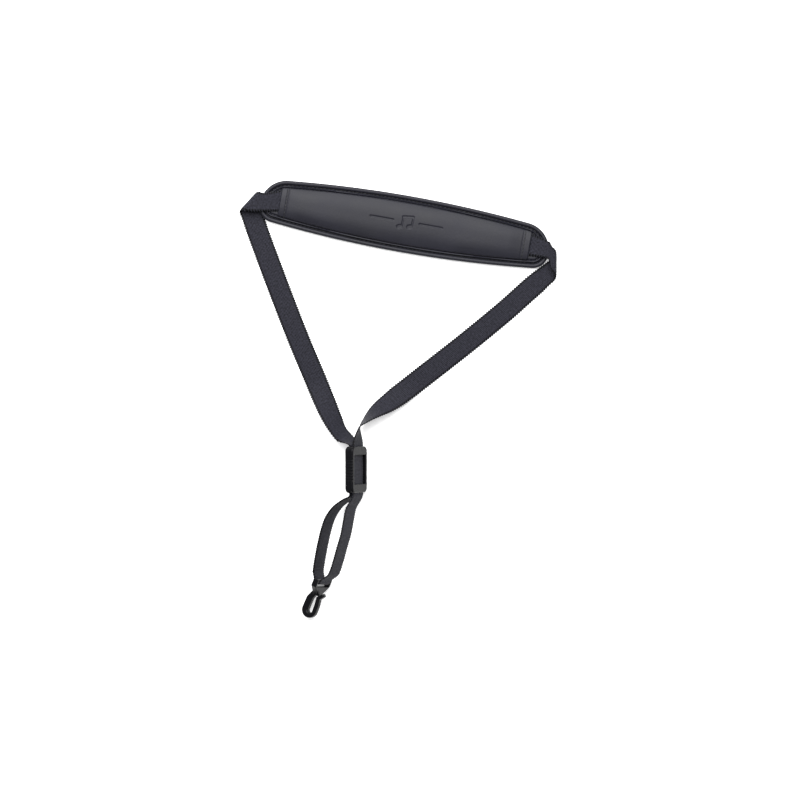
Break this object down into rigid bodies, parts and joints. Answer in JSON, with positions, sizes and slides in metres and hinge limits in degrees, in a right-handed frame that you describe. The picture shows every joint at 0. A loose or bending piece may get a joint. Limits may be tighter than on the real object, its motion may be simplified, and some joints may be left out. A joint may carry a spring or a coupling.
{
  "type": "saxophone neck strap",
  "caption": "Padded neck strap for a saxophone: curved leather pad, flat webbing loop, sliding adjuster and open plastic hook, laid flat.",
  "frame": {"origin": "centre of the pad's flat underside, the face that lies on the neck", "axes": "+X along the pad, +Y away from the hook, +Z out of the pad's upper face; the strap lies flat"},
  "size_m": [0.2877, 0.3841, 0.0272],
  "materials": {
    "black_leather": "fine grained, satin",
    "foam": "matt",
    "filler_cord": "matt",
    "black_webbing": "ribbed, slight sheen",
    "black_moulding": "satin"
  },
  "bodies": {
    "strap": {"pad_lining": "black_leather", "pad_foam": "foam", "pad_face": "black_leather", "piping_cover": "black_leather", "piping_cord": "filler_cord", "sleeve_panel": "black_leather", "sleeve_foam": "foam", "webbing_sleeve": "black_webbing", "webbing_left": "black_webbing", "webbing_right": "black_webbing", "webbing_loop": "black_webbing"},
    "slider": {"slider_frame": "black_moulding"},
    "hook": {"hook": "black_moulding"}
  },
  "joints": [
    {"name": "slider_slide", "type": "slide", "parent": "strap", "child": "slider", "axis": [-0.1184, -0.993, 0], "range_m": [-0.09, 0.062], "deforming": ["webbing_left", "webbing_right", "webbing_loop"]},
    {"name": "hook_swing", "type": "hinge", "parent": "strap", "child": "hook", "pos_m": [-0.0169, -0.324, 0.01329], "axis": [-0.4692, -0.0164, 0.8829], "range_deg": [-45, 75]}
  ]
}
